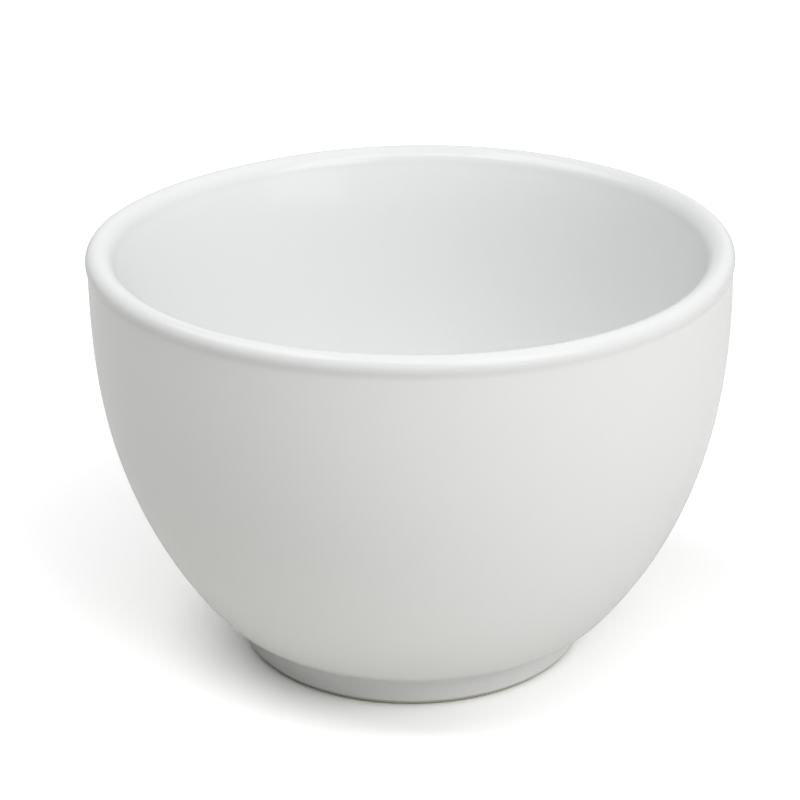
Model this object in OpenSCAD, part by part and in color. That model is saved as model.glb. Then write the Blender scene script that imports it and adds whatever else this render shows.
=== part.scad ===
// Latte bowl in white glazed porcelain: a deep round bowl with a rolled lip, on a low foot ring.
// The origin is the centre of the ring that it stands on, and +Z runs up the bowl's axis.

/* [Bowl] */
// Outer diameter over the lip
rim_d = 127; // [105:1:170]
// Height from the table to the top of the lip
bowl_h = 84.9; // [60:0.1:120]

/* [Lip] */
// Radius of the rolled lip's outer rounding
lip_r = 2.2; // [1.6:0.1:3.2]
// Radius of its wider inner rounding
lip_in_r = 4; // [3.2:0.1:5.5]
// How far the two roundings meet inwards of the top, in degrees
lip_turn = 15; // [5:1:30]
// How far the lip stands out over the wall
lip_proud = 0.3; // [0.1:0.05:1]
// Radius of the hollow curve under the lip
neck_r = 4; // [2:0.5:8]
// Lean of the inside just under the lip, in degrees from upright
inside_lean = 17; // [12:1:28]

/* [Belly] */
// Slope of the outside where the belly begins, in degrees from level
belly_slope = 51.5; // [40:0.5:65]
// Slope of the underside where it meets the foot, in degrees from level
under_slope = 23; // [15:1:30]
// Radius of the turn from the underside to the belly
turn_r = 14; // [8:0.5:18]
// Thickness of the wall at the heel, above the turn
heel_t = 7; // [5:0.1:8]
// Slope of the inside at the heel, in degrees from level
heel_slope = 53; // [48:1:58]

/* [Foot] */
// Outer diameter of the foot ring
foot_d = 70.4; // [60:0.2:84]
// Width of the foot ring
foot_ring_w = 5; // [3.5:0.1:8]
// Height of the foot's straight outer wall
foot_wall_h = 3.4; // [2.5:0.1:6]
// Radius of the hollow curve between the foot and the underside
foot_fillet_r = 4; // [2:0.1:5]
// Radius of the foot ring's bottom edges
foot_edge_r = 1; // [0.4:0.1:1.2]
// Height of the recess inside the foot ring, at its middle
well_h = 4; // [3:0.1:6]
// How much higher the recess is in the middle than at its corner
well_dome = 0.5; // [0.2:0.1:1]
// Radius of the recess's corner
well_corner_r = 1.6; // [0.8:0.1:2]
// Thickness of the base at its middle
base_t = 6.5; // [5:0.1:9]

/* [Glaze] */
// Thickness of the glaze
glaze_t = 0.3; // [0.15:0.05:0.5]
// Height above the table at which the glaze is wiped off the foot
wipe_h = 1.2; // [1.2:0.1:1.6]

/* [Hidden] */

glaze_colour = "whitesmoke";
clay_colour = "linen";

// Steps along each kind of curve in the section
$fn = 128;
curve_steps = 28;
lip_steps = 16;
lip_in_steps = 8;
arc_steps = 6;

// The wall's side of the belly curve is upright over this share of its height
wall_pull_share = 0.225;
// The heel is this share of the way up the belly curve
heel_share = 0.12;
// The inside keeps to its slope at the lip and at the heel by these shares of its reach
lip_pull_share = 0.345;
heel_pull_share = 0.3;
// The floor curve dips towards the base, then runs level, by these shares
floor_dip_share = 0.8;
floor_level_share = 0.7;

rim_r = rim_d / 2;
wall_r = rim_r - lip_proud;
foot_r = foot_d / 2;
well_r = foot_r - foot_ring_w;
floor_z = well_h + base_t;

// Section points are [radius, height, radius part of the normal, height part of the normal].
// The section is walked from under the middle of the base, out, up over the lip and back in,
// so the air is always on the right. An arc that turns left bulges into the air, and has a
// radius above zero. An arc that turns right is hollow, and has a radius below zero.
function heading(a) = [cos(a), sin(a)];
function air_side(a) = [sin(a), -cos(a)];
function section_point(p, n) = [p.x, p.y, n.x, n.y];

// An arc about c, without its first point, which the path before it ends on
function arc(c, r, from, to, steps) = [
    for (i = [1:steps])
        let (n = air_side(from + (to - from) * i / steps))
        section_point(c + r * n, n)
];

// A cubic curve's point and its normal, at a share t of the way from a to d
function curve_point(a, b, c, d, t) =
    let (
        s = 1 - t,
        p = s * s * s * a + 3 * s * s * t * b + 3 * s * t * t * c + t * t * t * d,
        along = s * s * (b - a) + 2 * s * t * (c - b) + t * t * (d - c)
    )
    section_point(p, [along.y, -along.x] / norm(along));

function curve(a, b, c, d) = [
    for (i = [1:curve_steps]) curve_point(a, b, c, d, i / curve_steps)
];

// The path's points, sunk into the clay by a depth
function sunk(path, depth) = [
    for (p = path) [p[0] - depth * p[2], p[1] - depth * p[3]]
];
function reversed(list) = [for (i = [len(list) - 1:-1:0]) list[i]];

// Recess under the base: a shallow dome, a rounded corner and the ring's inner wall
dome_r = (well_r * well_r + well_dome * well_dome) / (2 * well_dome);
well_corner_x = well_r - well_corner_r;
dome_edge_a = asin(well_corner_x / (dome_r - well_corner_r));
dome_c = [0, well_h - dome_r];
well_corner_c = dome_c + (dome_r - well_corner_r) * [sin(dome_edge_a), cos(dome_edge_a)];
well_path = concat(
    [section_point([0, well_h], air_side(0))],
    arc(dome_c, -dome_r, 0, -dome_edge_a, arc_steps),
    arc(well_corner_c, -well_corner_r, -dome_edge_a, -90, arc_steps),
    [section_point([well_r, wipe_h], air_side(-90))]
);

// Bare ring that the bowl stands on, between the two wiped lines
bare_in_c = [well_r + glaze_t + foot_edge_r, foot_edge_r];
bare_out_c = [foot_r - glaze_t - foot_edge_r, foot_edge_r];
bare_path = concat(
    [section_point([bare_in_c.x - foot_edge_r, foot_edge_r], air_side(-90))],
    arc(bare_in_c, foot_edge_r, -90, 0, arc_steps),
    [section_point([bare_out_c.x, 0], air_side(0))],
    arc(bare_out_c, foot_edge_r, 0, 90, arc_steps)
);

// Foot's hollow corner and the turn up to the belly
fillet_c = [foot_r + foot_fillet_r, foot_wall_h];
turn_c = fillet_c - (foot_fillet_r + turn_r) * air_side(under_slope);
belly_start = turn_c + turn_r * air_side(belly_slope);

// Lip: a bead that is rounder inside, a hollow neck under it and the wall's upright end
lip_c = [rim_r - lip_r, bowl_h - lip_r];
neck_reach = neck_r + lip_r;
neck_a = acos(1 - lip_proud / neck_reach);
neck_c = [wall_r + neck_r, lip_c.y - neck_reach * sin(neck_a)];
belly_end = [wall_r, neck_c.y];
lip_top_a = 180 + lip_turn;
lip_end_a = 270 - inside_lean;
lip_in_c = lip_c - (lip_in_r - lip_r) * air_side(lip_top_a);

// Belly: a curve that leaves the turn on its slope and reaches the neck upright
belly_pull = belly_start + heading(belly_slope) * (wall_r - belly_start.x) / cos(belly_slope);
wall_pull = belly_end - [0, wall_pull_share * (belly_end.y - belly_start.y)];

// Inside of the wall: it leaves the bead on its lean and reaches the heel on its slope, so the
// wall is thickest halfway down
wall_top = lip_in_c + lip_in_r * air_side(lip_end_a);
heel_p = curve_point(belly_start, belly_pull, wall_pull, belly_end, heel_share);
wall_foot = [heel_p[0] - heel_t * heel_p[2], heel_p[1] - heel_t * heel_p[3]];
wall_reach = norm(wall_foot - wall_top);
down_wall = -heading(heel_slope);
lip_pull = wall_top + lip_pull_share * wall_reach * heading(lip_end_a);
heel_pull = wall_foot - heel_pull_share * wall_reach * down_wall;

// Floor: it leaves the wall on the wall's own slope and is level at the middle
floor_corner = wall_foot + down_wall * (floor_z - wall_foot.y) / down_wall.y;
floor_dip = wall_foot + floor_dip_share * (floor_corner - wall_foot);
floor_level = [floor_level_share * floor_corner.x, floor_z];

inside_path = concat(
    curve(wall_top, lip_pull, heel_pull, wall_foot),
    curve(wall_foot, floor_dip, floor_level, [0, floor_z])
);

coat_path = concat(
    [section_point([foot_r, wipe_h], air_side(90))],
    [section_point([foot_r, foot_wall_h], air_side(90))],
    arc(fillet_c, -foot_fillet_r, 90, under_slope, arc_steps),
    arc(turn_c, turn_r, under_slope, belly_slope, arc_steps),
    curve(belly_start, belly_pull, wall_pull, belly_end),
    arc(neck_c, -neck_r, 90, 90 - neck_a, arc_steps),
    arc(lip_c, lip_r, 90 - neck_a, lip_top_a, lip_steps),
    arc(lip_in_c, lip_in_r, lip_top_a, lip_end_a, lip_in_steps),
    inside_path
);

// A film of glaze along a path, from its surface down to the clay
module film(path) {
    rotate_extrude()
        polygon(concat(sunk(path, 0), reversed(sunk(path, glaze_t))));
}

// Fired clay: everything under the glaze, and the bare ring
module porcelain_body() {
    color(clay_colour)
        rotate_extrude()
            polygon(concat(sunk(well_path, glaze_t), sunk(bare_path, 0), sunk(coat_path, glaze_t)));
}

// Glaze from the wiped line on the foot, over the lip and across the floor
module glaze_coat() {
    color(glaze_colour)
        film(coat_path);
}

// Glaze in the recess under the base
module foot_well_glaze() {
    color(glaze_colour)
        film(well_path);
}

porcelain_body();
glaze_coat();
foot_well_glaze();
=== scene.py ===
import math

import bpy
from mathutils import Matrix, Vector


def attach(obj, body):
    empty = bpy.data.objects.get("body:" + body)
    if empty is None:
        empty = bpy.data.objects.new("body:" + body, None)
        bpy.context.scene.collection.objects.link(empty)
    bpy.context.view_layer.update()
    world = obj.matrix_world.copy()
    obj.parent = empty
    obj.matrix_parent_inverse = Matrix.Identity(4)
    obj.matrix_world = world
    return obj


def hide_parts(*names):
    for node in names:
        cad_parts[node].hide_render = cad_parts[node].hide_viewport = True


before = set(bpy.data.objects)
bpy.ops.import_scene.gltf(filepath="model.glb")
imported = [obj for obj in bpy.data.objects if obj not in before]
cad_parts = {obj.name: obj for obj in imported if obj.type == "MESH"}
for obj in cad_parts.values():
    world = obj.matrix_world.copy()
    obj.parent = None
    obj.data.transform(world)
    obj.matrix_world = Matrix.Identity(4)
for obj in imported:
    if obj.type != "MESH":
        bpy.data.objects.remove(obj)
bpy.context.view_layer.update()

mm = 0.001

# angles are in degrees, slopes are from level, and pulls, dips and levels are shares of a reach
bowlShape = dict(
    rimRadius=63.5 * mm,
    height=84.9 * mm,
    lipRadius=2.2 * mm,
    lipInnerRadius=4 * mm,
    lipTurn=15,  # inwards of the top, where the two roundings meet
    lipProud=0.3 * mm,  # how far the lip stands out over the wall
    neckRadius=4 * mm,
    insideLean=17,  # from upright, just under the lip
    bellySlope=51.5,
    underSlope=23,
    turnRadius=14 * mm,
    wallPull=0.225,
    heelPlace=0.12,  # share of the way up the belly
    heelWall=7 * mm,
    heelSlope=53,
    lipPull=0.345,
    heelPull=0.3,
    floorDip=0.8,
    floorLevel=0.7,
    baseThickness=6.5 * mm,
)

footShape = dict(
    radius=35.2 * mm,
    ringWidth=5 * mm,
    wallHeight=3.4 * mm,
    filletRadius=4 * mm,
    edgeRadius=1 * mm,
    wellHeight=4 * mm,
    wellDome=0.5 * mm,
    wellCorner=1.6 * mm,
)

glazeShape = dict(
    thickness=0.3 * mm,
    wipeHeight=1.2 * mm,  # bare clay below this
)

# steps along each kind of curve, and the lengths in metres that count as nothing
lathe = dict(
    around=192,
    longCurve=40,
    lip=24,
    innerLip=16,
    smallArc=10,
    smoothAngle=35,  # degrees, and sharper edges stay sharp
    axisGap=1e-9,
    smallestRing=1e-6,
    weldGap=1e-7,
)


def airSide(angle):
    return Vector((math.sin(math.radians(angle)), -math.cos(math.radians(angle))))


def alongSlope(angle):
    return Vector((math.cos(math.radians(angle)), math.sin(math.radians(angle))))


# a section point is (place, direction of the air), both as (radius, height)
# the section is walked from under the base, out, up and over the lip, so the air is on the right
def arc(centre, radius, start, end, steps):
    points = []
    for i in range(1, steps + 1):
        air = airSide(start + (end - start) * i / steps)
        points.append((centre + radius * air, air))
    return points


# a cubic curve from a to d, pulled towards b and c
def curvePoint(a, b, c, d, t):
    s = 1 - t
    place = s**3 * a + 3 * s * s * t * b + 3 * s * t * t * c + t**3 * d
    along = (s * s * (b - a) + 2 * s * t * (c - b) + t * t * (d - c)).normalized()
    return place, Vector((along.y, -along.x))


def longCurve(ends):
    steps = lathe["longCurve"]
    return [curvePoint(*ends, i / steps) for i in range(1, steps + 1)]


def sunk(section, depth):
    return [(place - depth * air, air) for place, air in section]


def coatSection():
    b, f, g, n = bowlShape, footShape, glazeShape, lathe
    wallRadius = b["rimRadius"] - b["lipProud"]
    floorHeight = f["wellHeight"] + b["baseThickness"]

    # foot wall, its hollow corner and the turn into the belly
    out = [
        (Vector((f["radius"], g["wipeHeight"])), airSide(90)),
        (Vector((f["radius"], f["wallHeight"])), airSide(90)),
    ]
    filletCentre = Vector((f["radius"] + f["filletRadius"], f["wallHeight"]))
    out += arc(filletCentre, -f["filletRadius"], 90, b["underSlope"], n["smallArc"])
    turnCentre = filletCentre - (f["filletRadius"] + b["turnRadius"]) * airSide(b["underSlope"])
    out += arc(turnCentre, b["turnRadius"], b["underSlope"], b["bellySlope"], n["smallArc"])

    # belly, one long curve that reaches the neck upright
    bellyStart = out[-1][0]
    lipCentre = Vector((b["rimRadius"] - b["lipRadius"], b["height"] - b["lipRadius"]))
    neckReach = b["neckRadius"] + b["lipRadius"]
    neckTurn = math.degrees(math.acos(1 - b["lipProud"] / neckReach))
    neckHeight = lipCentre.y - neckReach * math.sin(math.radians(neckTurn))
    neckCentre = Vector((wallRadius + b["neckRadius"], neckHeight))
    bellyEnd = Vector((wallRadius, neckHeight))
    bellyReach = (wallRadius - bellyStart.x) / math.cos(math.radians(b["bellySlope"]))
    bellyPull = bellyStart + alongSlope(b["bellySlope"]) * bellyReach
    wallPull = bellyEnd - Vector((0, b["wallPull"] * (bellyEnd.y - bellyStart.y)))
    belly = (bellyStart, bellyPull, wallPull, bellyEnd)
    out += longCurve(belly)

    # neck, then the lip with its two roundings
    lipTop = 180 + b["lipTurn"]
    lipEnd = 270 - b["insideLean"]
    out += arc(neckCentre, -b["neckRadius"], 90, 90 - neckTurn, n["smallArc"])
    out += arc(lipCentre, b["lipRadius"], 90 - neckTurn, lipTop, n["lip"])
    innerCentre = lipCentre + (b["lipRadius"] - b["lipInnerRadius"]) * airSide(lipTop)
    out += arc(innerCentre, b["lipInnerRadius"], lipTop, lipEnd, n["innerLip"])

    # inside of the wall, from its lean under the lip to its slope at the heel
    wallTop = out[-1][0]
    heel, air = curvePoint(*belly, b["heelPlace"])
    wallFoot = heel - b["heelWall"] * air
    reach = (wallFoot - wallTop).length
    downWall = -alongSlope(b["heelSlope"])
    lipPull = wallTop + b["lipPull"] * reach * alongSlope(lipEnd)
    heelPull = wallFoot - b["heelPull"] * reach * downWall
    out += longCurve((wallTop, lipPull, heelPull, wallFoot))

    # floor, level at the middle
    floorCorner = wallFoot + downWall * (floorHeight - wallFoot.y) / downWall.y
    floorDip = wallFoot.lerp(floorCorner, b["floorDip"])
    floorLevel = Vector((b["floorLevel"] * floorCorner.x, floorHeight))
    out += longCurve((wallFoot, floorDip, floorLevel, Vector((0, floorHeight))))
    return out


# recess under the base: a shallow dome, a rounded corner and the ring's inner wall
def wellSection():
    f, g, n = footShape, glazeShape, lathe
    wellRadius = f["radius"] - f["ringWidth"]
    domeRadius = (wellRadius**2 + f["wellDome"] ** 2) / (2 * f["wellDome"])
    domeEdge = math.degrees(math.asin((wellRadius - f["wellCorner"]) / (domeRadius - f["wellCorner"])))
    domeCentre = Vector((0, f["wellHeight"] - domeRadius))
    cornerCentre = domeCentre - (domeRadius - f["wellCorner"]) * airSide(-domeEdge)
    well = [(Vector((0, f["wellHeight"])), airSide(0))]
    well += arc(domeCentre, -domeRadius, 0, -domeEdge, n["smallArc"])
    well += arc(cornerCentre, -f["wellCorner"], -domeEdge, -90, n["smallArc"])
    well += [(Vector((wellRadius, g["wipeHeight"])), airSide(-90))]
    return well


# bare ring that the bowl stands on, between the two wiped lines
def bareSection():
    f, g, n = footShape, glazeShape, lathe
    edge = f["edgeRadius"]
    inCentre = Vector((f["radius"] - f["ringWidth"] + g["thickness"] + edge, edge))
    outCentre = Vector((f["radius"] - g["thickness"] - edge, edge))
    ring = [(Vector((inCentre.x - edge, edge)), airSide(-90))]
    ring += arc(inCentre, edge, -90, 0, n["smallArc"])
    ring += [(Vector((outCentre.x, 0)), airSide(0))]
    ring += arc(outCentre, edge, 0, 90, n["smallArc"])
    return ring


def deselectAll():
    if bpy.context.object and bpy.context.object.mode != "OBJECT":
        bpy.ops.object.mode_set(mode="OBJECT")
    bpy.ops.object.select_all(action="DESELECT")


def selectOnly(piece):
    deselectAll()
    piece.select_set(True)
    bpy.context.view_layer.objects.active = piece


# turned as on a wheel: the first ring is extruded and scaled from one section point to the next
# a section that begins or ends on the axis is closed there with a fan
def turnOnWheel(name, section):
    deselectAll()
    places = [place for place, air in section]
    startsOnAxis = places[0].x < lathe["axisGap"]
    endsOnAxis = places[-1].x < lathe["axisGap"]
    if startsOnAxis:
        places = places[1:]
    bpy.ops.mesh.primitive_circle_add(
        vertices=lathe["around"],
        radius=places[0].x,
        fill_type="TRIFAN" if startsOnAxis else "NOTHING",
        location=(0, 0, places[0].y),
    )
    piece = bpy.context.object
    piece.name = piece.data.name = name
    bpy.ops.object.transform_apply(location=True, rotation=False, scale=False)
    bpy.ops.object.mode_set(mode="EDIT")
    bpy.ops.mesh.select_mode(type="EDGE")
    bpy.ops.mesh.select_all(action="SELECT")
    if startsOnAxis:
        bpy.ops.mesh.region_to_loop()
    for last, place in zip(places[:-1], places[1:]):
        bpy.ops.mesh.extrude_edges_move(
            TRANSFORM_OT_translate=dict(value=(0, 0, place.y - last.y)),
        )
        scale = max(place.x, lathe["smallestRing"]) / last.x
        bpy.ops.transform.resize(value=(scale, scale, 1), center_override=(0, 0, place.y))
    if endsOnAxis:
        bpy.ops.mesh.merge(type="COLLAPSE")
    bpy.ops.mesh.select_all(action="SELECT")
    bpy.ops.mesh.remove_doubles(threshold=lathe["weldGap"])
    bpy.ops.mesh.normals_make_consistent(inside=False)
    bpy.ops.object.mode_set(mode="OBJECT")
    bpy.ops.object.shade_smooth()
    return piece


def applyModifier(piece, kind, settings):
    selectOnly(piece)
    modifier = piece.modifiers.new(kind.title(), kind)
    for key, value in settings.items():
        setattr(modifier, key, value)
    bpy.ops.object.modifier_apply(modifier=modifier.name)


# a film of glaze: the turned surface gets its thickness towards the clay
def glazeFilm(name, section):
    film = turnOnWheel(name, section)
    applyModifier(film, "SOLIDIFY", dict(thickness=glazeShape["thickness"], offset=-1, use_even_offset=True))
    return film


bowlGlaze = glazeFilm("bowlGlaze", coatSection())
wellGlaze = glazeFilm("wellGlaze", wellSection())
clayDepth = glazeShape["thickness"]
clayBowl = turnOnWheel(
    "clayBowl",
    sunk(wellSection(), clayDepth) + bareSection() + sunk(coatSection(), clayDepth),
)
bowlPieces = [bowlGlaze, wellGlaze, clayBowl]
print("turned", ", ".join(piece.name for piece in bowlPieces))


# firing warp: how far the rim waves up and down, how far it is off round, and how far the lip, the belly
# and the foot stand off centre to the right; tops, heights and reaches are shares of the bowl's height
warpShape = dict(
    twist=0.41 * mm,
    saddle=-0.15 * mm,
    threeWave=-0.08 * mm,
    fourWave=0.14 * mm,
    oval=0.21 * mm,
    lipShift=-0.27 * mm,
    lipShiftPower=6,  # keeps it near the lip
    bellyShift=0.15 * mm,
    footShift=-0.3 * mm,
    footTop=0.06,
    leftSwell=0.15 * mm,  # the wall stands out by twice this on its left, over halfway up
    swellHeight=0.63,
    swellReach=0.35,
    cageReach=1.2,  # the cage's size over the bowl's
    cageColumns=7,
    cageRows=25,
)


# the warp is made by a lattice round the bowl, and its waves and its oval grow towards the lip
def warpLattice():
    w = warpShape
    deselectAll()
    radius, height = bowlShape["rimRadius"], bowlShape["height"]
    bpy.ops.object.add(type="LATTICE", location=(0, 0, height / 2))
    cage = bpy.context.object
    cage.scale = Vector((2 * radius, 2 * radius, height)) * w["cageReach"]
    lattice = cage.data
    lattice.points_u = lattice.points_v = w["cageColumns"]
    lattice.points_w = w["cageRows"]
    for direction in "uvw":
        setattr(lattice, "interpolation_type_" + direction, "KEY_CARDINAL")
    for point in lattice.points:
        place = point.co * 2 * w["cageReach"]  # 1 at the rim on x and y
        x, y = place.x, place.y
        up = max(0, (place.z + 1) / 2)  # 0 on the table, 1 at the lip
        lift = 2 * w["twist"] * x * y + w["saddle"] * (y**2 - x**2)
        lift += w["threeWave"] * (3 * y * x**2 - y**3) + w["fourWave"] * (x**4 - 6 * x**2 * y**2 + y**4)
        if up < w["footTop"]:
            shift = w["footShift"]
        else:
            shift = w["bellyShift"] * (1 - up) + w["lipShift"] * up ** w["lipShiftPower"]
        offSwell = (up - w["swellHeight"]) / w["swellReach"]
        swell = w["leftSwell"] * max(0, 1 - offSwell**2) ** 2
        move = Vector((shift - w["oval"] * x * up**2, w["oval"] * y * up**2, lift * up**2))
        move += swell * Vector((x - 1, y, 0))
        point.co_deform = point.co + Vector(m / s for m, s in zip(move, cage.scale))
    return cage


cage = warpLattice()
for piece in bowlPieces:
    applyModifier(piece, "LATTICE", dict(object=cage))
    selectOnly(piece)
    bpy.ops.object.shade_smooth_by_angle(angle=math.radians(lathe["smoothAngle"]))
bpy.data.objects.remove(cage)
print("warped", len(bowlPieces), "pieces")


# sRGB hex to the linear colour that nodes take
def fromHex(code):
    parts = [int(code[i:i + 2], 16) / 255 for i in (0, 2, 4)]
    return tuple(p / 12.92 if p <= 0.04045 else ((p + 0.055) / 1.055) ** 2.4 for p in parts) + (1,)


# adds a node; settings are its own, inputs are values or other nodes' sockets
def addNode(tree, kind, settings={}, inputs={}):
    node = tree.nodes.new(kind)
    for key, value in settings.items():
        setattr(node, key, value)
    for key, value in inputs.items():
        if isinstance(value, bpy.types.NodeSocket):
            tree.links.new(value, node.inputs[key])
        else:
            node.inputs[key].default_value = value
    return node


colourMix = dict(data_type="RGBA")  # its colours are inputs 6 and 7, and output 2
softStep = dict(interpolation_type="SMOOTHSTEP")


def newMaterial(name):
    material = bpy.data.materials.new(name)
    material.use_nodes = True
    material.node_tree.nodes.clear()
    return material, material.node_tree


glazeFinish = dict(
    white=fromHex("ECEDED"),
    pooled=fromHex("EBECEC"),  # where the glaze lies thicker
    lipShade=fromHex("E6E7E7"),  # painted shade over the top of the lip, darker than the white to tone down the light it catches
    lipShadeFrom=80.5 * mm,
    lipShadeTo=83.5 * mm,
    poolSize=60 * mm,
    poolDetail=2.0,
    waveLength=14 * mm,
    waveHeight=0.012 * mm,
    peelLength=1.6 * mm,
    peelHeight=0.0006 * mm,
    waveDetail=1.0,
    bodyRoughness=0.6,
    skinWeight=0.5,  # a full one draws bright edges
    skinRoughness=0.11,
    ior=1.5,
)


# clear glaze fired over white porcelain: an even cool white, with a thin glassy skin that
# mirrors the studio softly because it is very slightly wavy; the top of the lip carries painted shade
def glazedPorcelain():
    g = glazeFinish
    material, tree = newMaterial("glazedPorcelain")
    place = addNode(tree, "ShaderNodeTexCoord").outputs["Object"]
    pool = addNode(
        tree, "ShaderNodeTexNoise", {},
        {"Vector": place, "Scale": 1 / g["poolSize"], "Detail": g["poolDetail"]},
    )
    tint = addNode(
        tree, "ShaderNodeMix", colourMix,
        {0: pool.outputs["Fac"], 6: g["white"], 7: g["pooled"]},
    )
    height = addNode(tree, "ShaderNodeSeparateXYZ", {}, {"Vector": place}).outputs["Z"]
    # painted shade: the colour darkens over the top of the lip
    lip = addNode(
        tree, "ShaderNodeMapRange", softStep,
        {"Value": height, "From Min": g["lipShadeFrom"], "From Max": g["lipShadeTo"]},
    )
    tint = addNode(
        tree, "ShaderNodeMix", colourMix,
        {0: lip.outputs["Result"], 6: tint.outputs[2], 7: g["lipShade"]},
    )
    wave = addNode(
        tree, "ShaderNodeTexNoise", {},
        {"Vector": place, "Scale": 1 / g["waveLength"], "Detail": g["waveDetail"]},
    )
    waveBump = addNode(
        tree, "ShaderNodeBump", {},
        {"Height": wave.outputs["Fac"], "Distance": g["waveHeight"]},
    )
    peel = addNode(
        tree, "ShaderNodeTexNoise", {},
        {"Vector": place, "Scale": 1 / g["peelLength"], "Detail": g["waveDetail"]},
    )
    peelBump = addNode(
        tree, "ShaderNodeBump", {},
        {"Height": peel.outputs["Fac"], "Distance": g["peelHeight"], "Normal": waveBump.outputs["Normal"]},
    )
    skin = addNode(
        tree, "ShaderNodeBsdfPrincipled", {},
        {
            "Base Color": tint.outputs[2], "Roughness": g["bodyRoughness"], "IOR": g["ior"],
            "Specular IOR Level": 0.0, "Normal": peelBump.outputs["Normal"],
            "Coat Weight": g["skinWeight"], "Coat Roughness": g["skinRoughness"],
            "Coat IOR": g["ior"], "Coat Normal": peelBump.outputs["Normal"],
        },
    )
    addNode(tree, "ShaderNodeOutputMaterial", {}, {"Surface": skin.outputs["BSDF"]})
    return material


clayFinish = dict(
    white=fromHex("DEDAD2"),
    worn=fromHex("C9C5BD"),
    contactShade=fromHex("948F86"),  # painted shade: darkens the foot's lowest edge, where it meets the table
    contactShadeTop=0.8 * mm,
    patchSize=6 * mm,
    patchDetail=4.0,
    grainSize=0.35 * mm,
    grainDetail=3.0,
    grainHeight=0.02 * mm,
    grainStrength=0.6,
    roughness=0.85,
    ior=1.5,
)


# vitrified porcelain left bare and ground flat where the bowl stands: matt, slightly warm, finely sandy,
# with painted shade along its lowest edge
def biscuitPorcelain():
    c = clayFinish
    material, tree = newMaterial("biscuitPorcelain")
    place = addNode(tree, "ShaderNodeTexCoord").outputs["Object"]
    patch = addNode(
        tree, "ShaderNodeTexNoise", {},
        {"Vector": place, "Scale": 1 / c["patchSize"], "Detail": c["patchDetail"]},
    )
    tint = addNode(
        tree, "ShaderNodeMix", colourMix,
        {0: patch.outputs["Fac"], 6: c["white"], 7: c["worn"]},
    )
    height = addNode(tree, "ShaderNodeSeparateXYZ", {}, {"Vector": place}).outputs["Z"]
    # painted shade: the colour darkens towards the table over the foot's lowest edge
    contactShadeMask = addNode(
        tree, "ShaderNodeMapRange", {},
        {"Value": height, "From Max": c["contactShadeTop"], "To Min": 1.0, "To Max": 0.0},
    )
    tint = addNode(
        tree, "ShaderNodeMix", colourMix,
        {0: contactShadeMask.outputs["Result"], 6: tint.outputs[2], 7: c["contactShade"]},
    )
    grain = addNode(
        tree, "ShaderNodeTexNoise", {},
        {"Vector": place, "Scale": 1 / c["grainSize"], "Detail": c["grainDetail"]},
    )
    bump = addNode(
        tree, "ShaderNodeBump", {},
        {"Height": grain.outputs["Fac"], "Distance": c["grainHeight"], "Strength": c["grainStrength"]},
    )
    skin = addNode(
        tree, "ShaderNodeBsdfPrincipled", {},
        {
            "Base Color": tint.outputs[2], "Roughness": c["roughness"], "IOR": c["ior"],
            "Normal": bump.outputs["Normal"],
        },
    )
    addNode(tree, "ShaderNodeOutputMaterial", {}, {"Surface": skin.outputs["BSDF"]})
    return material


glazeMaterial = glazedPorcelain()
clayMaterial = biscuitPorcelain()
for piece, material, slot, node in (
    (bowlGlaze, glazeMaterial, "glaze", "glaze_coat"),
    (wellGlaze, glazeMaterial, "glaze", "foot_well_glaze"),
    (clayBowl, clayMaterial, "fired_clay", "porcelain_body"),
):
    piece.data.materials.append(material)
    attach(piece, "root")
    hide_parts(node)
    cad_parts[node].data.materials.clear()
    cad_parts[node].data.materials.append(material)
print("glazed and fired")


# rays that see the photograph's white background: the camera's, and those that a mirror or a glass passes on
def seenRays(tree):
    path = addNode(tree, "ShaderNodeLightPath").outputs
    seen = path["Is Camera Ray"]
    for ray in ("Is Glossy Ray", "Is Transmission Ray"):
        seen = addNode(tree, "ShaderNodeMath", dict(operation="MAXIMUM"), {0: seen, 1: path[ray]}).outputs[0]
    return seen


# metres; the burn brightens the paper for the camera alone
floorShape = dict(
    size=4.0,
    paper=fromHex("E2E2DD"),  # what it throws back on the bowl
    seen=fromHex("F8F8F8"),
    burn=1.4,  # the photograph burns the paper out to white round the shadow
    farBurn=8.0,  # makes up for the lamps' light falling off
    nearReach=0.25,
    farReach=2.0,
)


# a sweep of white paper that keeps the bowl's shadow
def makeFloor():
    f = floorShape
    deselectAll()
    bpy.ops.mesh.primitive_plane_add(size=f["size"])
    floor = bpy.context.object
    floor.name = floor.data.name = "studioFloor"
    material, tree = newMaterial("whitePaper")
    tint = addNode(
        tree, "ShaderNodeMix", colourMix,
        {0: seenRays(tree), 6: f["paper"], 7: f["seen"]},
    )
    place = addNode(tree, "ShaderNodeTexCoord").outputs["Object"]
    away = addNode(tree, "ShaderNodeVectorMath", dict(operation="LENGTH"), {0: place})
    rising = addNode(
        tree, "ShaderNodeMapRange", softStep,
        {
            "Value": away.outputs["Value"], "From Min": f["nearReach"], "From Max": f["farReach"],
            "To Min": f["burn"], "To Max": f["farBurn"],
        },
    )
    cameraRay = addNode(tree, "ShaderNodeLightPath").outputs["Is Camera Ray"]
    burn = addNode(
        tree, "ShaderNodeMapRange", {},
        {"Value": cameraRay, "To Min": 1.0, "To Max": rising.outputs["Result"]},
    )
    shown = addNode(
        tree, "ShaderNodeVectorMath", dict(operation="SCALE"),
        {0: tint.outputs[2], "Scale": burn.outputs["Result"]},
    )
    paper = addNode(tree, "ShaderNodeBsdfDiffuse", {}, {"Color": shown.outputs[0]})
    addNode(tree, "ShaderNodeOutputMaterial", {}, {"Surface": paper.outputs["BSDF"]})
    floor.data.materials.append(material)


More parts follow.
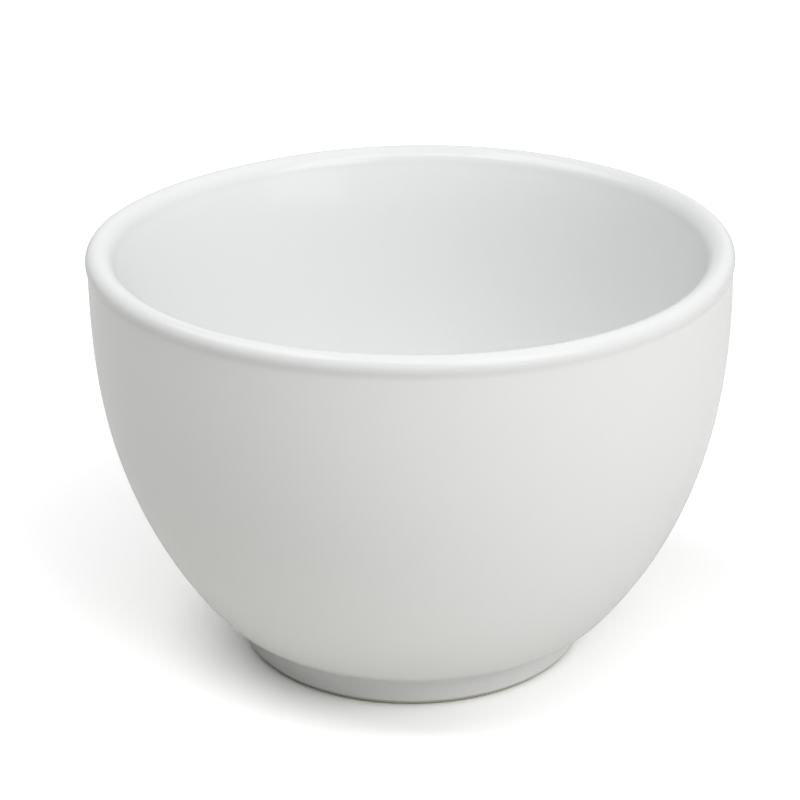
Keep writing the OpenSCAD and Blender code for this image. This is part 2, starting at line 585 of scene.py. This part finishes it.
# bearings are degrees clockwise from straight behind the bowl, heights are degrees above its middle,
# sizes are in metres and powers in watts
# the room is pale to the bowl's right and dark to its left, and white to whatever sees it
# two soft lamps light the bowl, with a strip high over the camera and two faint cards lower down
studio = dict(
    roomColour=fromHex("FFFFFF"),
    paleBearing=85,
    paleLevel=0.45,
    darkLevel=0.02,
    paleFacing=0.6,  # cosine of the angle from the pale bearing, within which the room is palest
    darkFacing=-1.0,
    seenLevel=1.0,
    aim=Vector((0, 0, 50)) * mm,
    distance=1.0,
    lamps=(
        dict(name="keySoftbox", bearing=138, height=42, size=(0.65, 0.45), power=3.3),
        dict(name="leftSoftbox", bearing=278, height=61, size=(0.7, 0.6), power=3.85),
        dict(name="topStrip", bearing=180, height=72, size=(1.1, 0.14), power=2.8),
        dict(name="rightCard", bearing=135, height=14, size=(0.6, 0.35), power=0.9),
        dict(name="frontCard", bearing=180, height=25, size=(0.8, 0.4), power=0.12),
    ),
)


def bearingVector(bearing, height=0):
    b, h = math.radians(bearing), math.radians(height)
    return Vector((math.sin(b) * math.cos(h), math.cos(b) * math.cos(h), math.sin(h)))


def lightRoom():
    s = studio
    world = bpy.data.worlds.new("whiteStudio")
    bpy.context.scene.world = world
    world.use_nodes = True
    tree = world.node_tree
    tree.nodes.clear()
    direction = addNode(tree, "ShaderNodeTexCoord").outputs["Generated"]
    facing = addNode(
        tree, "ShaderNodeVectorMath", dict(operation="DOT_PRODUCT"),
        {0: direction, 1: bearingVector(s["paleBearing"])},
    )
    level = addNode(
        tree, "ShaderNodeMapRange", softStep,
        {
            "Value": facing.outputs["Value"], "From Min": s["darkFacing"], "From Max": s["paleFacing"],
            "To Min": s["darkLevel"], "To Max": s["paleLevel"],
        },
    )
    shown = addNode(
        tree, "ShaderNodeMix", dict(data_type="FLOAT"),
        {0: seenRays(tree), 2: level.outputs["Result"], 3: s["seenLevel"]},
    )
    sky = addNode(
        tree, "ShaderNodeBackground", {},
        {"Color": s["roomColour"], "Strength": shown.outputs[0]},
    )
    addNode(tree, "ShaderNodeOutputWorld", {}, {"Surface": sky.outputs["Background"]})


def hangLamps():
    s = studio
    for lamp in s["lamps"]:
        deselectAll()
        place = s["aim"] + s["distance"] * bearingVector(lamp["bearing"], lamp["height"])
        bpy.ops.object.light_add(type="AREA", location=place)
        light = bpy.context.object
        light.name = light.data.name = lamp["name"]
        light.data.shape = "RECTANGLE"
        light.data.size, light.data.size_y = lamp["size"]
        light.data.energy = lamp["power"]
        light.rotation_euler = (s["aim"] - light.location).to_track_quat("-Z", "Y").to_euler()


# the photograph's view, fitted to the outline, the lip and the foot
view = dict(
    place=Vector((0, -426.7, 232.88)) * mm,
    aim=Vector((-2.44, 0, 50.33)) * mm,
    roll=-0.51,  # degrees
    lens=103.5,
    sensor=36,
    nearClip=10 * mm,
)


def makeCamera():
    deselectAll()
    bpy.ops.object.camera_add(location=view["place"])
    camera = bpy.context.object
    camera.name = camera.data.name = "photoCamera"
    look = (view["aim"] - view["place"]).to_track_quat("-Z", "Y").to_matrix()
    roll = Matrix.Rotation(math.radians(view["roll"]), 3, "Z")
    camera.rotation_euler = (look @ roll).to_euler()
    camera.data.sensor_width = view["sensor"]
    camera.data.lens = view["lens"]
    camera.data.clip_start = view["nearClip"]
    bpy.context.scene.camera = camera


makeFloor()
lightRoom()
hangLamps()
makeCamera()
bpy.context.scene.view_settings.view_transform = "Standard"
print("studio and camera in place")
